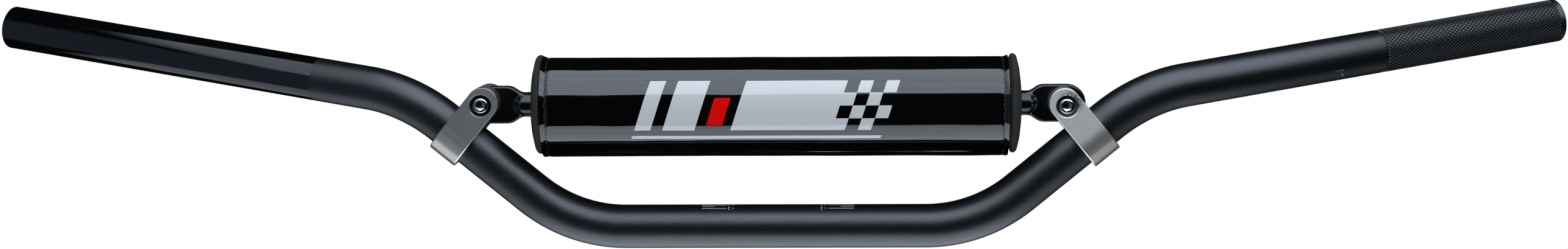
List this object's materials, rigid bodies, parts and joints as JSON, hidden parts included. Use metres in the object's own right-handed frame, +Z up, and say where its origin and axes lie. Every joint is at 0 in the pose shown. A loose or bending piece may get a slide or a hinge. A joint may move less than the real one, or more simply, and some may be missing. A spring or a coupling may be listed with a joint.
{
  "type": "motocross handlebar",
  "caption": "Bent tube handlebar with a padded crossbar bolted into two slotted clamps on its risers.",
  "frame": {"origin": "middle of the clamping section, on the axis of the tube", "axes": "+X along the bar to the clutch side, +Y to the rear, the way the grips sweep back, +Z up"},
  "size_m": [0.8204, 0.0912, 0.122],
  "materials": {
    "bar_black": "bead-blasted, black anodised, matte",
    "crossbar_black": "black anodised, satin gloss",
    "clamp_silver": "satin silver anodised, clear chamfers",
    "bolt_steel": "zinc plated",
    "foam": "closed-cell foam, dark grey, matte",
    "cover_vinyl": "coated vinyl, black, glossy, stitched near its edges",
    "closure": "black hook and loop tape"
  },
  "bodies": {
    "root": {"handlebar_tube": "bar_black", "crossbar": "crossbar_black", "left_clamp": "clamp_silver", "right_clamp": "clamp_silver", "left_bolt": "bolt_steel", "right_bolt": "bolt_steel", "pad_foam": "foam", "pad_cover": "cover_vinyl", "loop_strip": "closure", "hook_strip": "closure"}
  },
  "joints": []
}
